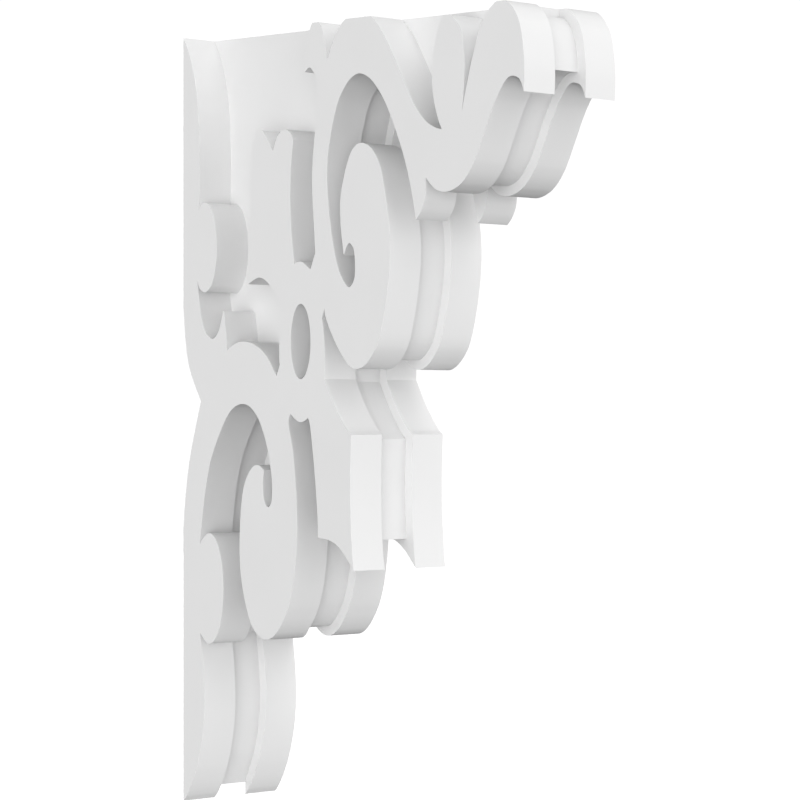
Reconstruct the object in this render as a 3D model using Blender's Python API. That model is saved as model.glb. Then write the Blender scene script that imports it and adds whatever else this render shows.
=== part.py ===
"""Scrolled PVC corbel: a recessed core board laminated between two equal scroll plates.

Z is up, the wall is the plane Y = 0 and the corbel projects from it towards -Y. The
origin lies on the middle of the core's flat back, where the corbel is fixed.
"""

import math

import bmesh
import bpy
import numpy as np
from mathutils import Matrix

MM = 0.001

# Driving dimensions in millimetres: the nominal 5 x 18 x 30 inch size.
INCH = 25.4
WIDTH = 5 * INCH
HEIGHT = 30 * INCH
GLUE_LINE = 0.3
BOARD = (WIDTH - 2 * GLUE_LINE) / 3

# The core follows the plates' outline this far inside it. Along the top and the back it is
# a solid block instead, which closes every opening there and carries the fixings. Its front
# runs out to the wall a little above the plates' feet.
RECESS = 9.5
BLOCK_FRONT = 434 - RECESS
FOOT = 12.3

# Sampling: how finely a curve is followed, and how far a chord may stray from it.
STEPS = 10
CHORD = 0.12
CLEAR = 0.001

PVC_WHITE = (0.86, 0.86, 0.85, 1.0)
CORE_WHITE = (0.84, 0.84, 0.83, 1.0)

# Ellipses: centre and half axes, out from the wall and up from the foot.
UPPER_LOBE = ((31.2, 551.5), (17.9, 44.5))
LOWER_LOBE = ((38.0, 213.4), (20.5, 54.8))
WAIST_OVAL = ((167.6, 456.0), (13.6, 36.2))


def ellipse(centre, half_axes, start, end, count):
    """Points on an ellipse from one angle to another, in degrees."""
    angles = (math.radians(start + (end - start) * i / count) for i in range(count + 1))
    return [
        (centre[0] + half_axes[0] * math.cos(a), centre[1] + half_axes[1] * math.sin(a))
        for a in angles
    ]


# One plate's outline as (out from the wall, up from the foot), once round from the top of
# the wall strip. Each stretch is a smooth line that starts at the corner where the one
# before it ends, and its own last point is the next corner.
FRONT_OF_BACK = {
    "wall strip, upper": [(16.5, 719.5), (23.5, 658), (22.7, 588.5)],
    "upper wall lobe": ellipse(*UPPER_LOBE, 108, -108, 10) + [(20.2, 519.3)],
    "cove under the lobe": [(28.3, 477), (34.5, 465.3), (43.3, 460.8), (50.3, 466.3), (58, 488)],
    "thorn": [(61.3, 475.5), (63.7, 448.8)],
    "hip": [(79.5, 456.5), (97.5, 455.8), (116, 446.3), (134, 422.8)],
    "riser foot": [(138.7, 434.5)],
    "riser": [(137.8, 449), (140.3, 491)],
    "small arch": [(130, 505.7), (118, 516.5), (109.3, 519.3), (94, 513.3)],
}
STEM_AND_SLOT = {
    "stem, wall side": [(93.3, 528), (96.9, 587), (100, 647), (110.8, 663)],
    "stem cleft, wall side": [(117, 659.6), (129, 642)],
    "stem cleft, front": [(136.3, 656.7), (144.7, 662), (153, 658.2), (157.5, 651)],
    "slot, wall side": [(153.3, 612), (153.9, 576), (159, 531)],
    "slot foot": [(167.8, 533), (181, 525)],
    "slot heel": [(187.8, 541)],
    "slot, front": [(183.2, 610), (184.2, 630), (190, 693), (185.7, 714)],
    "slot eye": [(179.7, 719.2), (173.4, 715.2)],
}
TOP = {
    "leaf, wall side": [(174.2, 739), (183.3, HEIGHT)],
    "leaf top": [(191.5, HEIGHT)],
    "top cleft, wall side": [(196.8, 755.5), (204, 725)],
    "top cleft, front": [(211, 739.5), (219, 753.5), (228.8, HEIGHT)],
    "arch top": [(262.5, HEIGHT)],
    "arch front": [(280, 742.5), (300, 709), (320.5, 673.5), (336.5, 656.6), (354.4, 649.7)],
    "blade, wall side": [(344.6, 676), (342.3, 704), (349.5, 742), (358, 754.7)],
    "blade top": [(365, 754.7)],
    "blade shoulder and slit": [
        (373, 748.4), (379, 739.5), (381.9, 726), (383.5, 705), (380.3, 664.5),
    ],
    "slit, front": [(387.8, 695), (398.8, 730), (405.2, 745.5), (413.5, 755.3), (423, HEIGHT)],
    "nose top": [(434, HEIGHT)],
}
NOSE_AND_UPPER_SCROLL = {
    "nose": [(449, 746), (456.3, 714), (456.5, 677.7)],
    "under the nose": [
        (450, 690.3), (438.5, 692), (424, 675.3), (396.5, 619), (387.5, 606), (378, 597.5),
        (367, 592.5), (357, 591.4), (346, 594.8), (334.2, 606),
    ],
    "barb": [(332, 582.5), (321.3, 567.3)],
    "upper bay and its eye": [
        (307, 623.6), (284.5, 674), (271.4, 693.2), (260, 704), (247, 708.8), (235.3, 704.7),
        (224.2, 692.9), (215.8, 677), (204.8, 631), (205.3, 591), (214.5, 539), (222.3, 518.7),
        (233.5, 506.6), (240, 513.3), (241.4, 528), (238.9, 544), (233.5, 548.3), (226.3, 537.3),
    ],
    "upper scroll": [
        (221.5, 575.5), (222.8, 598), (234.6, 632.5), (242, 640.8), (250, 643), (260.3, 639.4),
        (270, 629), (277.6, 611.7), (287.9, 536), (273.9, 457.8), (263.8, 440.6),
        (251.3, 430.5), (242, 428.9), (232.5, 433), (209, 464), (200.3, 487.2),
    ],
    "throat spur": [(196.7, 478)],
    "throat": [(200.3, 453.5), (200.6, 419.5)],
    "chin": [(220, 385.2), (236.3, 366.3)],
    "tablet": [(235.2, 295), (239.8, 237)],
    "tablet soffit": [(221.2, 257.6), (209.5, 264.3), (191.3, 267.5)],
}
LOWER_SCROLL = {
    "lower slot, front": [(188.2, 316.7), (179, 380), (177.3, 382.3)],
    "lower slot head": [(166.7, 378.3), (154.2, 385.8)],
    "lower slot and scroll": [
        (151, 379.5), (157.5, 347), (162.9, 269), (151.5, 201.5), (131.7, 171.5),
        (118.5, 166.2), (107, 170.8), (98, 181), (85, 219.5), (81.6, 258), (87, 312),
        (94.2, 327.8), (101.8, 335.2), (108, 336.3), (116.2, 331.5),
    ],
    "lower eye": [
        (115.1, 317), (116.2, 304.5), (119.3, 297), (122.6, 295.6), (126, 298.5), (127.9, 316),
        (124.8, 337.5),
    ],
    "lower bay": [
        (121, 353.5), (114, 371.5), (105, 386), (95, 394), (85.5, 396), (76, 393.8),
        (65.7, 386), (43, 347.3), (34.8, 322), (24.1, 256.7),
    ],
    "lower wall lobe": ellipse(*LOWER_LOBE, 112, -112, 12) + [(24.8, 168.8)],
    "wall strip, lower": [(31, 107), (28, 66), (16, 25.5), (0, 0)],
}
BACK = {
    "lower flat": [(0, 272)],
    "waist, below": [(4.3, 313.5), (10, 344.4), (25.8, 399)],
    "waist, above": [(8.6, 432.9), (3.6, 455.7), (0, 492)],
    "upper flat": [(0, HEIGHT)],
}


def clear_scene():
    for obj in list(bpy.data.objects):
        bpy.data.objects.remove(obj)


def smooth_line(points):
    """Catmull-Rom curve through the points, spaced by the root of their distances."""
    if len(points) == 2:
        return list(points)
    pts = [np.array(p, float) for p in points]
    first = 3 * pts[0] - 3 * pts[1] + pts[2]
    last = 3 * pts[-1] - 3 * pts[-2] + pts[-3]
    pts = [first, *pts, last]
    line = []
    for p0, p1, p2, p3 in zip(pts, pts[1:], pts[2:], pts[3:]):
        t1 = np.linalg.norm(p1 - p0) ** 0.5
        t2 = t1 + np.linalg.norm(p2 - p1) ** 0.5
        t3 = t2 + np.linalg.norm(p3 - p2) ** 0.5
        for t in np.linspace(t1, t2, STEPS, endpoint=False):
            a1 = p0 + (p1 - p0) * t / t1
            a2 = p1 + (p2 - p1) * (t - t1) / (t2 - t1)
            a3 = p2 + (p3 - p2) * (t - t2) / (t3 - t2)
            b1 = a1 + (a2 - a1) * t / t2
            b2 = a2 + (a3 - a2) * (t - t1) / (t3 - t1)
            line.append(tuple(b1 + (b2 - b1) * (t - t1) / (t2 - t1)))
    line.append(tuple(points[-1]))
    return line


def trace(start, stretches):
    """The stretches' smooth lines one after the other, as one list of points."""
    line = [start]
    for points in stretches.values():
        line += smooth_line([line[-1], *points])[1:]
    return line


def from_line(points, a, b):
    """Distances of the points from the segment a-b."""
    along = np.subtract(b, a)
    length = max(float(along @ along), 1e-12)
    t = np.clip((points - np.array(a)) @ along / length, 0, 1)
    return np.linalg.norm(points - (np.array(a) + t[:, None] * along), axis=1)


def thin_out(line):
    """The fewest of the line's points whose chords stay within CHORD of it."""
    if len(line) < 3:
        return list(line)
    away = from_line(np.array(line), line[0], line[-1])
    far = int(away.argmax())
    if away[far] < CHORD:
        return [line[0], line[-1]]
    return thin_out(line[: far + 1])[:-1] + thin_out(line[far:])


def plate_outline():
    """One scroll plate's whole outline, closed by its last stretch."""
    outline = [(0, HEIGHT)]
    for group in (FRONT_OF_BACK, STEM_AND_SLOT, TOP, NOSE_AND_UPPER_SCROLL, LOWER_SCROLL, BACK):
        for points in group.values():
            outline += thin_out(smooth_line([outline[-1], *points]))[1:]
    return outline[:-1]


def waist_oval():
    return ellipse(*WAIST_OVAL, 0, 360, 44)[:-1]


def crossing(before, after):
    """Where two pieces of line meet when both are carried straight on."""
    (a0, a1), (b1, b0) = before[-2:], after[:2]
    ahead, back = a1 - a0, b1 - b0
    along = (back[0] * (b1 - a1)[1] - back[1] * (b1 - a1)[0]) / (
        back[0] * ahead[1] - back[1] * ahead[0]
    )
    return a1 + along * ahead


def inset(line, distance):
    """The line moved to its right by a distance, mitred, with round sharp inner corners."""
    line = np.array(line, float)
    steps = np.diff(line, axis=0)
    steps /= np.linalg.norm(steps, axis=1)[:, None]
    rights = np.stack([steps[:, 1], -steps[:, 0]], axis=1)
    moved = [line[0] + distance * rights[0]]
    for point, before, after in zip(line[1:], rights, rights[1:]):
        turn = math.atan2(before[0] * after[1] - before[1] * after[0], float(before @ after))
        if abs(turn) < math.radians(35):
            moved.append(point + distance * (before + after) / (1 + before @ after))
            continue
        fan = max(1, math.ceil(turn / math.radians(6)))
        for i in range(fan + 1):
            angle = math.atan2(before[1], before[0]) + turn * i / fan
            moved.append(point + distance * np.array((math.cos(angle), math.sin(angle))))
    moved.append(line[-1] + distance * rights[-1])
    moved = np.array(moved)
    clear = np.full(len(moved), np.inf)
    for a, b in zip(line, line[1:]):
        clear = np.minimum(clear, from_line(moved, a, b))
    pieces = [[]]
    for point, is_clear in zip(moved, clear > distance - CLEAR):
        if is_clear:
            pieces[-1].append(point)
        elif pieces[-1]:
            pieces.append([])
    pieces = [piece for piece in pieces if len(piece) > 1]
    joined = pieces[0]
    for piece in pieces[1:]:
        joined += [crossing(joined, piece), *piece]
    return [tuple(point) for point in joined]


def split_at_corners(line, angle):
    """The line cut into pieces wherever it turns by more than an angle in degrees."""
    pieces = [[line[0]]]
    for before, point, after in zip(line, line[1:], line[2:]):
        pieces[-1].append(point)
        heading = math.atan2(point[1] - before[1], point[0] - before[0])
        turned = math.atan2(after[1] - point[1], after[0] - point[0]) - heading
        if abs(math.remainder(turned, math.tau)) > math.radians(angle):
            pieces.append([point])
    pieces[-1].append(line[-1])
    return pieces


def core_outline():
    """The recessed front of the core, closed by its straight back and its flat top."""
    front = trace((434, HEIGHT), {**NOSE_AND_UPPER_SCROLL, **LOWER_SCROLL})
    recessed = inset(front, RECESS)
    step = HEIGHT - RECESS
    while recessed[0][1] > step:
        recessed.pop(0)
    while recessed[-1][1] < 3 * FOOT:
        recessed.pop()
    recessed += smooth_line([recessed[-1], (0.4 * recessed[-1][0], 1.9 * FOOT), (0, FOOT)])[1:]
    outline = [(BLOCK_FRONT, HEIGHT), (BLOCK_FRONT, step), (recessed[0][0] - 1, step)]
    for piece in split_at_corners(recessed, 20):
        outline += thin_out(piece)[:-1]
    return outline + [(0, FOOT), (0, HEIGHT)]


def to_place(point, x):
    """A point of an outline at a place across the width, in metres from the origin."""
    out, up = point
    return (x * MM, -out * MM, (up - HEIGHT / 2) * MM)


def board_mesh(name, outline, hole):
    """A board cut to an outline, centred on X = 0, its faces filled with triangles."""
    mesh = bpy.data.meshes.new(name)
    bm = bmesh.new()
    for loop in (outline, hole):
        verts = [bm.verts.new(to_place(point, -BOARD / 2)) for point in loop]
        for a, b in zip(verts, verts[1:] + verts[:1]):
            bm.edges.new((a, b))
    bmesh.ops.triangle_fill(bm, use_beauty=True, use_dissolve=False, edges=bm.edges)
    grown = bmesh.ops.extrude_face_region(bm, geom=bm.faces[:])["geom"]
    far_verts = [v for v in grown if isinstance(v, bmesh.types.BMVert)]
    bmesh.ops.translate(bm, vec=(BOARD * MM, 0, 0), verts=far_verts)
    bmesh.ops.recalc_face_normals(bm, faces=bm.faces)
    bm.to_mesh(mesh)
    bm.free()
    mesh.shade_smooth()
    mesh.set_sharp_from_angle(angle=math.radians(25))
    return mesh


def pvc(name, colour):
    """Matt white cellular PVC."""
    material = bpy.data.materials.new(name)
    material.use_nodes = True
    shader = material.node_tree.nodes["Principled BSDF"]
    shader.inputs["Base Color"].default_value = colour
    shader.inputs["Roughness"].default_value = 0.62
    shader.inputs["Metallic"].default_value = 0.0
    return material


def place(name, mesh, x):
    obj = bpy.data.objects.new(name, mesh)
    obj.matrix_world = Matrix.Translation((x * MM, 0, 0))
    bpy.context.scene.collection.objects.link(obj)
    return obj


def build_plates():
    """The two outer boards are one shape, so they share a mesh."""
    mesh = board_mesh("scroll_plate", plate_outline(), waist_oval())
    mesh.materials.append(pvc("plate_pvc", PVC_WHITE))
    for name, side in (("left_scroll_plate", -1), ("right_scroll_plate", 1)):
        place(name, mesh, side * (BOARD + GLUE_LINE))


def build_core():
    mesh = board_mesh("core_board", core_outline(), waist_oval())
    mesh.materials.append(pvc("core_pvc", CORE_WHITE))
    place("core_board", mesh, 0)


def main():
    clear_scene()
    build_plates()
    build_core()


main()
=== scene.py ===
"""A scrolled PVC corbel, its boards finished with eased edges, glue lines and PVC surfaces.

Three boards are laminated side by side: a recessed core between two equal scroll plates.
Z is up, the wall is the plane Y = 0 and the corbel projects from it towards -Y.
"""

import math

import bmesh
import bpy
import numpy as np
from bpy.props import FloatProperty, FloatVectorProperty, PointerProperty
from mathutils import Euler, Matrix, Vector


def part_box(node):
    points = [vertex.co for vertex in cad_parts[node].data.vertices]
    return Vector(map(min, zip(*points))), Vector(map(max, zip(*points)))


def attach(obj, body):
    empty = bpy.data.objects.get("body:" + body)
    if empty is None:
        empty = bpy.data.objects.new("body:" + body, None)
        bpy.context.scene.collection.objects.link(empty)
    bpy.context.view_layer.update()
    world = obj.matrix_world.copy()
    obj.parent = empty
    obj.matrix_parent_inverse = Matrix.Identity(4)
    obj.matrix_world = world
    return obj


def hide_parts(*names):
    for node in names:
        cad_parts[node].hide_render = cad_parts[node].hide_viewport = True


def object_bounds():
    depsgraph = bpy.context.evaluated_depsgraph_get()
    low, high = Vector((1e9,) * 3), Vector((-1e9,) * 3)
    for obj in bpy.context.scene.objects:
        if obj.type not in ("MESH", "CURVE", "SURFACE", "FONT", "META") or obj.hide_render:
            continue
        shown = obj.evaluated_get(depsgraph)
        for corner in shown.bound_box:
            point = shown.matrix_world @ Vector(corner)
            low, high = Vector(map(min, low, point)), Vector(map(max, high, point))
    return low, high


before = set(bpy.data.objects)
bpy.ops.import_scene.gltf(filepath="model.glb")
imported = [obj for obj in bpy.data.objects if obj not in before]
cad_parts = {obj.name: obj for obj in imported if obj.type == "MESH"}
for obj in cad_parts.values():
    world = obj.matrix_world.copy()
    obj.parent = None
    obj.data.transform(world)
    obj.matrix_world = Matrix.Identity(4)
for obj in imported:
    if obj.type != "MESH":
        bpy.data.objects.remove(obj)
cad_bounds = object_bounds()

bl_info = {
    "name": "PVC Corbel",
    "version": (1, 0, 0),
    "blender": (4, 5, 0),
    "location": "3D View > Sidebar > Corbel",
    "description": "Finishes the boards of a laminated PVC corbel and sets up its studio",
    "category": "Object",
}

MM = 0.001
BODY = "root"
PLATES = {"left_scroll_plate": "left_plate", "right_scroll_plate": "right_plate"}
CORE = "core_board"

# Points of a board in the frame are one where they are nearer than WELD, and lie on its flat
# side where they are within FLATNESS of it. In a finished board, points of one line that
# come nearer than SAME_PLACE are one.
WELD = 0.01 * MM
FLATNESS = 0.1 * MM
SAME_PLACE = 0.001 * MM

# The eased edge is a quarter round in this many facets. The shading weighs large faces over
# small ones by FACE_WEIGHT, where 50 would be even.
EASE_FACETS = 3
FACE_WEIGHT = 90

# An outline has a corner where its direction turns by more than CORNER degrees, or by more
# than SOFT_CORNER where the points beside it are further off than NEARBY or turn
# CORNER_APART times less. Its curves are divided into steps that turn by about CURVE_STEP at
# most, so that any turn past SHARP is a corner in the finished board.
CORNER = 40.0
SOFT_CORNER = 22.0
CORNER_APART = 1.8
NEARBY = 5 * MM
CURVE_STEP = 4.0
SHARP = 15.0

# A line drawn into the material has mitred corners. They move by these times the distance
# at most, where the material's corner points outwards and where it points inwards. A point
# has moved far enough where it is CLEARANCE times the distance from the first line.
OUTWARD_MITRE = 12.0
INWARD_MITRE = 1.3
CLEARANCE = 0.98

# Two lines are parallel where their cross product is below PARALLEL, and a line has no
# length where its square is below NO_LENGTH.
PARALLEL = 1e-12
NO_LENGTH = 1e-18

# The body that trims a glue line to its plate has these times the glue's set-back and
# thickness, so that their faces don't coincide.
TRIM_SET_BACK = 1.1
TRIM_THICKNESS = 3

# How fine the surfaces' textures are, in cells to the metre. The cutter's marks run across
# the boards, so there their texture is drawn out.
MOTTLE_SCALE = 14.0
PEEL_SCALE = 420.0
CHATTER_SCALE = 700.0
PORE_SCALE = 1500.0
STREAK_SCALE = 220.0
CHATTER_STRETCH = (0.04, 1.0, 1.0)

# How much of the relief's depth each texture takes, and how strongly the relief shows.
PEEL_HEIGHT = 0.35
CHATTER_HEIGHT = 0.8
PORE_HEIGHT = 0.4
RELIEF = 0.2 * MM
PVC_BUMP = 0.12
GLUE_BUMP = 0.3

# A surface that faces along the width is smooth sheet, and any other is routed edge. The
# change lies between these cosines of the angle to the width.
SHEET_FACING = (0.75, 0.95)

# The camera: where it stands, the direction it looks in, how far its picture is shifted, in
# picture widths, and the width of its sensor in millimetres.
CAMERA_PLACE = (-2.3204, -2.4823, 0.0)
CAMERA_AIM = (0.7186, 0.6954, 0.0)
CAMERA_SHIFT = (0.00256, 0.02415)
SENSOR_WIDTH = 36.0

FLOOR_SEGMENTS = 96

# The studio's soft lights: the bearing of each, anticlockwise from the corbel's right as
# seen from above, its height, both in degrees, and its brightness. Each fades as this power
# of the cosine of the angle from its middle.
LIGHT_FALLOFF = 12.0
SOFT_LIGHTS = {
    "left": (210, -4, 5.1),
    "behind left": (150, 10, 1.5),
    "front": (270, 10, 0.7),
    "front, above": (270, 40, 1.3),
    "right front, high": (300, 65, 2.5),
    "right front, low": (300, -20, 1.8),
    "right": (330, 10, 1.4),
    "behind": (90, 20, 1.3),
    "behind right": (20, 10, 1.2),
}


class CorbelSizes(bpy.types.PropertyGroup):
    """Sizes of what is added to the boards."""

    ease: FloatProperty(
        name="Eased edge",
        description="Radius of the arris where a plate's free face meets its routed edge",
        default=0.12 * MM,
        unit="LENGTH",
    )
    glue_set_back: FloatProperty(
        name="Glue set-back",
        description="How far the glue line stays behind the boards' outlines",
        default=0.05 * MM,
        unit="LENGTH",
    )
    glue_thickness: FloatProperty(
        name="Glue line",
        description="Thickness of the glue between two boards",
        default=0.28 * MM,
        unit="LENGTH",
    )


class CorbelFinish(bpy.types.PropertyGroup):
    """Colours and surfaces of the PVC."""

    sheet_colour: FloatVectorProperty(
        name="Sheet face",
        description="Colour of the boards' smooth faces",
        default=(0.80, 0.80, 0.80, 1.0),
        size=4,
        subtype="COLOR",
    )
    routed_colour: FloatVectorProperty(
        name="Routed edge",
        description="Colour of the cut edges, where the foam shows",
        default=(0.80, 0.80, 0.80, 1.0),
        size=4,
        subtype="COLOR",
    )
    glue_colour: FloatVectorProperty(
        name="Glue",
        description="Colour of the cured glue",
        default=(0.79, 0.79, 0.78, 1.0),
        size=4,
        subtype="COLOR",
    )
    sheet_roughness: FloatProperty(
        name="Sheet roughness",
        description="Roughness of the smooth faces",
        default=0.52,
        subtype="FACTOR",
    )
    routed_roughness: FloatProperty(
        name="Routed roughness",
        description="Roughness of the cut edges",
        default=0.68,
        subtype="FACTOR",
    )
    mottle: FloatProperty(
        name="Mottling",
        description="How far the white darkens in soft patches",
        default=0.08,
        subtype="FACTOR",
    )


class CorbelStudio(bpy.types.PropertyGroup):
    """The floor, the lights and the camera."""

    floor_drop: FloatProperty(
        name="Floor",
        description="How far below the corbel's foot the floor lies",
        default=0.30,
        unit="LENGTH",
    )
    floor_radius: FloatProperty(
        name="Floor radius",
        description="Radius of the round floor",
        default=14.0,
        unit="LENGTH",
    )
    floor_glow: FloatProperty(
        name="Floor glow",
        description="How far the pale floor is lit from beneath, so that it meets the backdrop",
        default=0.5,
    )
    brightness: FloatProperty(
        name="Brightness",
        description="Brightness of all the lights together",
        default=1.055,
    )
    backdrop: FloatProperty(
        name="Backdrop",
        description="Brightness of the white backdrop that the camera sees",
        default=1.05,
    )
    lens: FloatProperty(
        name="Lens",
        description="Focal length of the camera, for a sensor 36 mm wide",
        default=150.82,
        unit="CAMERA",
    )


class Wire:
    """A shader socket that takes part in Python arithmetic."""

    def __init__(self, tree, socket=None):
        self.tree = tree
        self.socket = socket

    def fill(self, node, inputs):
        """Fill a node's sockets, each with a wire or with a fixed value."""
        for name, value in inputs.items():
            if isinstance(value, Wire):
                self.tree.links.new(value.socket, node.inputs[name])
            else:
                node.inputs[name].default_value = value

    def node(self, kind, settings=None, inputs=None, output=0):
        """A new node's output, its settings made before its sockets are filled."""
        node = self.tree.nodes.new("ShaderNode" + kind)
        for name, value in (settings or {}).items():
            setattr(node, name, value)
        self.fill(node, inputs or {})
        return Wire(self.tree, node.outputs[output])

    def maths(self, operation, *values):
        """The result of a Math node."""
        return self.node("Math", {"operation": operation}, dict(enumerate(values)))

    def object_place(self):
        """The place on the object, in metres."""
        return self.node("TexCoord", output=3)

    def noise(self, place, scale, detail=2.0):
        """Soft noise at a place."""
        return self.node("TexNoise", inputs={"Vector": place, "Scale": scale, "Detail": detail})

    def mix(self, factor, first, second, blend="MIX"):
        """One colour mixed, or blended in another way, with a second by a factor."""
        settings = {"data_type": "RGBA", "blend_type": blend}
        return self.node("Mix", settings, {0: factor, 6: first, 7: second}, output=2)

    def bump(self, height, strength):
        """Normals that show a height, given as part of the relief's depth."""
        inputs = {"Strength": strength, "Distance": RELIEF, "Height": height}
        return self.node("Bump", inputs=inputs)

    def __add__(self, other):
        return self.maths("ADD", self, other)

    __radd__ = __add__

    def __sub__(self, other):
        return self.maths("SUBTRACT", self, other)

    def __rsub__(self, other):
        return self.maths("SUBTRACT", other, self)

    def __mul__(self, other):
        return self.maths("MULTIPLY", self, other)

    __rmul__ = __mul__

    def smooth_step(self, low, high):
        """This value's place between two others, from 0 to 1, with soft ends."""
        settings = {"interpolation_type": "SMOOTHSTEP"}
        return self.node("MapRange", settings, {"Value": self, "From Min": low, "From Max": high})


def new_material(name):
    """A node material and a Wire into its tree, with the Principled shader."""
    material = bpy.data.materials.new(name)
    material.use_nodes = True
    shader = material.node_tree.nodes["Principled BSDF"]
    return material, Wire(material.node_tree), shader


def pvc_material(name, finish):
    """White cellular PVC: smooth calendered faces, and routed edges with fine pores."""
    material, wire, shader = new_material(name)
    place = wire.object_place()
    normal = wire.node("NewGeometry", output=1)
    across = wire.node("SeparateXYZ", inputs={0: normal})
    sheet = wire.maths("ABSOLUTE", across).smooth_step(*SHEET_FACING)

    mottle = wire.noise(place, MOTTLE_SCALE, detail=3.0)
    peel = wire.noise(place, PEEL_SCALE)
    pores = wire.node("TexVoronoi", inputs={"Vector": place, "Scale": PORE_SCALE})
    drawn_out = wire.node("VectorMath", {"operation": "MULTIPLY"}, {0: place, 1: CHATTER_STRETCH})
    chatter = wire.noise(drawn_out, CHATTER_SCALE)

    tint = wire.mix(sheet, finish.routed_colour, finish.sheet_colour)
    darker = (mottle - 0.5) * finish.mottle + 0.02
    rough = finish.routed_roughness + (finish.sheet_roughness - finish.routed_roughness) * sheet
    cut = chatter * CHATTER_HEIGHT + pores * PORE_HEIGHT
    grain = sheet * peel * PEEL_HEIGHT + (1.0 - sheet) * cut
    looks = {
        "Base Color": wire.mix(darker, tint, (0.5, 0.5, 0.5, 1.0), "MULTIPLY"),
        "Roughness": rough + (peel - 0.5) * 0.05,
        "Normal": wire.bump(grain, PVC_BUMP),
        "Specular IOR Level": 0.35,
    }
    wire.fill(shader, looks)
    return material


def glue_material(finish):
    """White cured glue, a little glossier than the boards."""
    material, wire, shader = new_material("cured_glue")
    streaks = wire.noise(wire.object_place(), STREAK_SCALE, detail=4.0)
    looks = {
        "Base Color": wire.mix(
            streaks * 0.06, finish.glue_colour, (0.6, 0.6, 0.58, 1.0), "MULTIPLY"
        ),
        "Roughness": 0.3 + streaks * 0.2,
        "Normal": wire.bump(streaks, GLUE_BUMP),
    }
    wire.fill(shader, looks)
    return material


def board_loops(node):
    """The closed lines round a board's flat side, as (y, z) rows, with material on the left."""
    bm = bmesh.new()
    bm.from_mesh(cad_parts[node].data)
    bmesh.ops.remove_doubles(bm, verts=bm.verts, dist=WELD)
    side = min(v.co.x for v in bm.verts)
    flat = {v for v in bm.verts if v.co.x < side + FLATNESS}
    rim = [
        edge
        for edge in bm.edges
        if flat.issuperset(edge.verts)
        and not all(flat.issuperset(face.verts) for face in edge.link_faces)
    ]
    following = {}
    for edge in rim:
        a, b = edge.verts
        following.setdefault(a, []).append(b)
        following.setdefault(b, []).append(a)
    loops = []
    while following:
        last = None
        vert = next(iter(following))
        loop = []
        while vert in following:
            ends = following.pop(vert)
            loop.append((vert.co.y, vert.co.z))
            last, vert = vert, ends[0] if ends[0] is not last else ends[1]
        loops.append(np.array(loop))
    bm.free()
    loops.sort(key=lambda loop: -abs(area(loop)))
    return [loop if (area(loop) > 0) == (i == 0) else loop[::-1] for i, loop in enumerate(loops)]


def area(loop):
    """Signed area inside a closed line, positive where it runs anticlockwise."""
    y, z = loop.T
    return 0.5 * float(np.sum(y * np.roll(z, -1) - np.roll(y, -1) * z))


def turns(loop):
    """How far a closed line turns at each of its points, in degrees, left positive."""
    after = np.roll(loop, -1, axis=0) - loop
    before = np.roll(after, 1, axis=0)
    cross = before[:, 0] * after[:, 1] - before[:, 1] * after[:, 0]
    return np.degrees(np.arctan2(cross, np.sum(before * after, axis=1)))


def corners(loop):
    """Which points of a closed line are corners, and not steps of a curve."""
    bends = np.abs(turns(loop))
    lengths = np.linalg.norm(np.roll(loop, -1, axis=0) - loop, axis=1)
    calm_after = (np.roll(bends, -1) * CORNER_APART < bends) | (lengths > NEARBY)
    calm_before = (np.roll(bends, 1) * CORNER_APART < bends) | (np.roll(lengths, 1) > NEARBY)
    return (bends > CORNER) | (bends > SOFT_CORNER) & calm_after & calm_before


def refined(loop):
    """The line with its curves divided finely, its corners and straight runs kept."""
    bends = turns(loop)
    corner = corners(loop)
    low, high = loop.min(axis=0), loop.max(axis=0)
    chord = np.roll(loop, -1, axis=0) - loop
    tangent = np.roll(loop, -1, axis=0) - np.roll(loop, 1, axis=0)
    tangent /= np.linalg.norm(tangent, axis=1)[:, None]
    points = []
    count = len(loop)
    for i in range(count):
        j = (i + 1) % count
        length = np.linalg.norm(chord[i])
        along = chord[i] / length
        start = along if corner[i] else tangent[i]
        end = along if corner[j] else tangent[j]
        if corner[i] and not corner[j]:
            start = 2 * along - end
        if corner[j] and not corner[i]:
            end = 2 * along - start
        bend = 0.5 * (abs(bends[i]) * (not corner[i]) + abs(bends[j]) * (not corner[j]))
        parts = max(1, math.ceil(bend / CURVE_STEP))
        for k in range(parts):
            t = k / parts
            points.append(
                (2 * t**3 - 3 * t**2 + 1) * loop[i]
                + (t**3 - 2 * t**2 + t) * length * start
                + (3 * t**2 - 2 * t**3) * loop[j]
                + (t**3 - t**2) * length * end
            )
    return np.clip(np.array(points), low, high)


def distances(points, loop):
    """Each point's distance from a closed line."""
    nearest = np.full(len(points), np.inf)
    for a, b in zip(loop, np.roll(loop, -1, axis=0)):
        along = b - a
        t = np.clip((points - a) @ along / max(float(along @ along), NO_LENGTH), 0, 1)
        nearest = np.minimum(nearest, np.linalg.norm(points - a - t[:, None] * along, axis=1))
    return nearest


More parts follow.
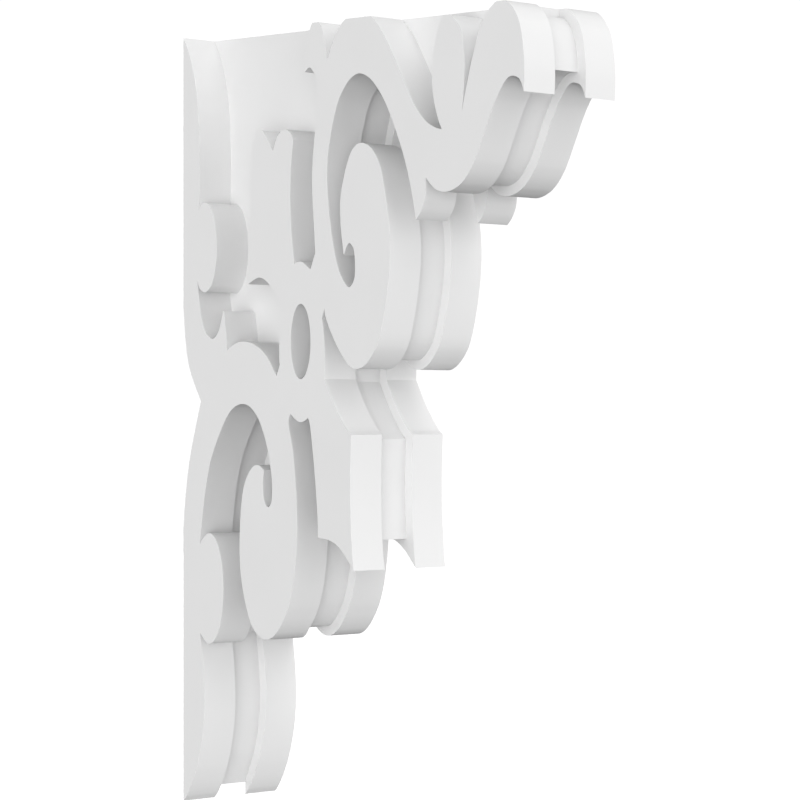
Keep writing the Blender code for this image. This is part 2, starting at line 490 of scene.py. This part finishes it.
def drawn_in(loop, distance):
    """The line moved into the material, point for point.

    Where a spike is narrower than the move, its points gather where its sides cross.
    """
    after = np.roll(loop, -1, axis=0) - loop
    after /= np.linalg.norm(after, axis=1)[:, None]
    left = np.stack([-after[:, 1], after[:, 0]], axis=1)
    middle = left + np.roll(left, 1, axis=0)
    width = np.linalg.norm(middle, axis=1)
    mitre = np.minimum(2 / width, np.where(turns(loop) > 0, OUTWARD_MITRE, INWARD_MITRE))
    moved = loop + distance * (mitre / width)[:, None] * middle
    clear = distances(moved, loop) >= CLEARANCE * distance
    if clear.all():
        return moved
    count = len(loop)
    first = next(i for i in range(count) if clear[i - 1] and clear[i])
    run = []
    for i in range(first, first + count + 1):
        if not clear[i % count]:
            run.append(i % count)
            continue
        if run:
            start, end = run[0] - 1, i % count
            ahead, back = loop[run[0]] - loop[start], loop[run[-1]] - loop[end]
            moved[run] = crossing(moved[start], ahead, moved[end], back)
            run = []
    return moved


def crossing(a, ahead, b, back):
    """Where a line from a point and a line from another meet, or else between the points."""
    det = ahead[0] * back[1] - ahead[1] * back[0]
    if abs(det) < PARALLEL:
        return (a + b) / 2
    return a + ahead * ((b - a)[0] * back[1] - (b - a)[1] * back[0]) / det


def quarter_round(ease):
    """A rounded edge from the outline to the face: how far in and how deep each line lies."""
    if not ease:
        return [(0.0, 0.0)]
    angles = [math.radians(90) * k / EASE_FACETS for k in range(EASE_FACETS + 1)]
    return [(ease * (1 - math.cos(a)), ease * (1 - math.sin(a))) for a in angles]


def board_mesh(name, loops, low, high, low_ease=0.0, high_ease=0.0):
    """A board between two places across the width, each face's edge rounded by its ease.

    Its corners and its square edges are marked sharp, and everything else is smooth.
    """
    bm = bmesh.new()
    caps = ([], [])
    for loop in loops:
        stack = [
            (low + deep, drawn_in(loop, inward))
            for inward, deep in reversed(quarter_round(low_ease))
        ]
        stack += [
            (high - deep, drawn_in(loop, inward)) for inward, deep in quarter_round(high_ease)
        ]
        sharp = np.abs(turns(loop)) > SHARP
        made = []
        for x, line in stack:
            row = []
            for y, z in line:
                if row and (row[-1].co - Vector((x, y, z))).length < SAME_PLACE:
                    row.append(row[-1])
                else:
                    row.append(bm.verts.new((x, y, z)))
            if row[0] is not row[-1] and (row[0].co - row[-1].co).length < SAME_PLACE:
                bm.verts.remove(row[-1])
                row[-1] = row[0]
            made.append(row)
        for lower, upper in zip(made, made[1:]):
            for i in range(len(lower)):
                quad = [lower[i], lower[i - 1], upper[i - 1], upper[i]]
                quad = [v for k, v in enumerate(quad) if v is not quad[k - 1]]
                if len(quad) > 2:
                    bm.faces.new(quad)
            for i in np.flatnonzero(sharp):
                bm.edges.get((lower[i], upper[i])).smooth = False
        for cap, row in zip(caps, (made[0], made[-1])):
            cap += [
                bm.edges.get((a, b)) or bm.edges.new((a, b))
                for a, b in zip(row, row[1:] + row[:1])
                if a is not b
            ]
    for cap, ease in zip(caps, (low_ease, high_ease)):
        for edge in cap:
            edge.smooth = bool(ease)
        bmesh.ops.triangle_fill(bm, use_beauty=True, use_dissolve=False, edges=cap)
    bmesh.ops.recalc_face_normals(bm, faces=bm.faces)
    for face in bm.faces:
        face.smooth = True
    mesh = bpy.data.meshes.new(name)
    bm.to_mesh(mesh)
    bm.free()
    return mesh


def add_piece(name, mesh, material, slot, *nodes):
    """A piece of the corbel, riding on its body and standing for its nodes."""
    mesh.materials.append(material)
    obj = bpy.data.objects.new(name, mesh)
    bpy.context.scene.collection.objects.link(obj)
    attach(obj, BODY)
    if nodes:
        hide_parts(*nodes)
    return obj


def flatten_flats(obj):
    """Shading that keeps the flat faces flat right up to their eased edges."""
    weighted = obj.modifiers.new("flat faces stay flat", "WEIGHTED_NORMAL")
    weighted.keep_sharp = True
    weighted.weight = FACE_WEIGHT


def add_board(name, node, slot, material):
    """A board with fine curves, eased where its face is an outer face of the corbel."""
    low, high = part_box(node)
    loops = [refined(loop) for loop in board_loops(node)]
    ease = bpy.context.scene.corbel_sizes.ease
    mesh = board_mesh(name, loops, low.x, high.x, ease * (high.x < 0), ease * (low.x > 0))
    flatten_flats(add_piece(name, mesh, material, slot, node))


def joint(node):
    """The middle of the joint between a plate and the core, across the width."""
    faces = sorted(corner.x for corner in (*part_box(CORE), *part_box(node)))
    return (faces[1] + faces[2]) / 2


def trimmed(obj, mesh):
    """The part of an object's mesh that lies inside another mesh."""
    cutter = bpy.data.objects.new("cutter", mesh)
    bpy.context.scene.collection.objects.link(cutter)
    cut = obj.modifiers.new("inside both", "BOOLEAN")
    cut.operation = "INTERSECT"
    cut.object = cutter
    graph = bpy.context.evaluated_depsgraph_get()
    inside = bpy.data.meshes.new_from_object(obj.evaluated_get(graph))
    obj.modifiers.clear()
    bpy.data.objects.remove(cutter)
    return inside


class CORBEL_OT_plates(bpy.types.Operator):
    """Finish the two scroll plates"""

    bl_idname = "corbel.plates"
    bl_label = "Scroll plates"

    def execute(self, context):
        material = pvc_material("plate_pvc", context.scene.corbel_finish)
        for node, name in PLATES.items():
            add_board(name, node, "plate_pvc", material)
        return {"FINISHED"}


class CORBEL_OT_core(bpy.types.Operator):
    """Finish the recessed core"""

    bl_idname = "corbel.core"
    bl_label = "Core board"

    def execute(self, context):
        material = pvc_material("core_pvc", context.scene.corbel_finish)
        add_board("core", CORE, "core_pvc", material)
        return {"FINISHED"}


class CORBEL_OT_glue(bpy.types.Operator):
    """Fill the joints between the boards with glue"""

    bl_idname = "corbel.glue"
    bl_label = "Glue lines"

    def execute(self, context):
        sizes = context.scene.corbel_sizes
        material = glue_material(context.scene.corbel_finish)
        half = sizes.glue_thickness / 2
        trim_half = half * TRIM_THICKNESS
        trim_set_back = sizes.glue_set_back * TRIM_SET_BACK
        core = [drawn_in(refined(loop), sizes.glue_set_back) for loop in board_loops(CORE)]
        for node, name in PLATES.items():
            middle = joint(node)
            film = board_mesh("film", core, middle - half, middle + half)
            obj = add_piece(name.replace("plate", "glue_line"), film, material, "core_pvc")
            plate = [drawn_in(refined(loop), trim_set_back) for loop in board_loops(node)]
            trim = board_mesh("trim", plate, middle - trim_half, middle + trim_half)
            obj.data = trimmed(obj, trim)
            obj.data.shade_flat()
        return {"FINISHED"}


def studio_world(studio):
    """Broad soft lights all round, and a white backdrop behind the corbel."""
    world = bpy.data.worlds.new("studio")
    bpy.context.scene.world = world
    world.use_nodes = True
    wire = Wire(world.node_tree)
    direction = wire.node("TexCoord", output=0)
    light = 0.0
    for bearing, height, strength in SOFT_LIGHTS.values():
        turned = Euler((0.0, -math.radians(height), math.radians(bearing)))
        towards = turned.to_matrix() @ Vector((1.0, 0.0, 0.0))
        facing = wire.node(
            "VectorMath",
            {"operation": "DOT_PRODUCT"},
            {0: direction, 1: tuple(towards)},
            output=1,
        )
        falloff = wire.maths("POWER", wire.maths("MAXIMUM", facing, 0.0), LIGHT_FALLOFF)
        light = falloff * (strength * studio.brightness) + light
    seen = wire.node("LightPath", output=0)
    light = light.maths("MAXIMUM", light, seen * studio.backdrop)
    white = (1.0, 1.0, 1.0, 1.0)
    wire.fill(world.node_tree.nodes["Background"], {"Color": white, "Strength": light})


def add_floor(studio):
    """A pale floor that meets the backdrop, seen by the camera and not by the corbel."""
    bm = bmesh.new()
    bmesh.ops.create_circle(
        bm, cap_ends=True, segments=FLOOR_SEGMENTS, radius=studio.floor_radius
    )
    mesh = bpy.data.meshes.new("floor")
    bm.to_mesh(mesh)
    bm.free()
    floor = bpy.data.objects.new("floor", mesh)
    floor.location.z = cad_bounds[0][2] - studio.floor_drop
    floor.visible_diffuse = False
    floor.visible_glossy = False
    floor.visible_shadow = False
    bpy.context.scene.collection.objects.link(floor)
    material, wire, shader = new_material("pale_floor")
    looks = {
        "Base Color": (0.9, 0.9, 0.9, 1.0),
        "Roughness": 0.9,
        "Emission Color": (1.0, 1.0, 1.0, 1.0),
        "Emission Strength": studio.floor_glow,
    }
    wire.fill(shader, looks)
    mesh.materials.append(material)


def add_camera(studio):
    """The scene's camera, level and in front of the corbel's left side."""
    camera = bpy.data.cameras.new("camera")
    camera.lens = studio.lens
    camera.sensor_width = SENSOR_WIDTH
    camera.shift_x, camera.shift_y = CAMERA_SHIFT
    eye = bpy.data.objects.new("camera", camera)
    eye.location = CAMERA_PLACE
    eye.rotation_euler = Vector(CAMERA_AIM).to_track_quat("-Z", "Y").to_euler()
    bpy.context.scene.collection.objects.link(eye)
    bpy.context.scene.camera = eye


class CORBEL_OT_stage(bpy.types.Operator):
    """Set up the floor, the lights and the camera"""

    bl_idname = "corbel.stage"
    bl_label = "Studio"

    def execute(self, context):
        studio = context.scene.corbel_studio
        context.scene.view_settings.view_transform = "Standard"
        studio_world(studio)
        add_floor(studio)
        add_camera(studio)
        return {"FINISHED"}


class CORBEL_PT_panel(bpy.types.Panel):
    """The corbel's settings and the steps that make it"""

    bl_idname = "CORBEL_PT_panel"
    bl_label = "PVC corbel"
    bl_space_type = "VIEW_3D"
    bl_region_type = "UI"
    bl_category = "Corbel"

    def draw(self, context):
        layout = self.layout
        for name in SETTINGS:
            group = getattr(context.scene, name)
            box = layout.box()
            for setting in group.bl_rna.properties:
                if not setting.is_readonly and setting.identifier != "name":
                    box.prop(group, setting.identifier)
        for operator in STEPS:
            layout.operator(operator.bl_idname)


SETTINGS = {
    "corbel_sizes": CorbelSizes,
    "corbel_finish": CorbelFinish,
    "corbel_studio": CorbelStudio,
}
STEPS = (CORBEL_OT_plates, CORBEL_OT_core, CORBEL_OT_glue, CORBEL_OT_stage)


def register():
    for cls in (*SETTINGS.values(), *STEPS, CORBEL_PT_panel):
        bpy.utils.register_class(cls)
    for name, group in SETTINGS.items():
        setattr(bpy.types.Scene, name, PointerProperty(type=group))


def unregister():
    for name in SETTINGS:
        delattr(bpy.types.Scene, name)
    for cls in reversed((*SETTINGS.values(), *STEPS, CORBEL_PT_panel)):
        bpy.utils.unregister_class(cls)


def main():
    register()
    bpy.ops.corbel.plates()
    bpy.ops.corbel.core()
    bpy.ops.corbel.glue()
    bpy.ops.corbel.stage()


if __name__ == "__main__":
    main()
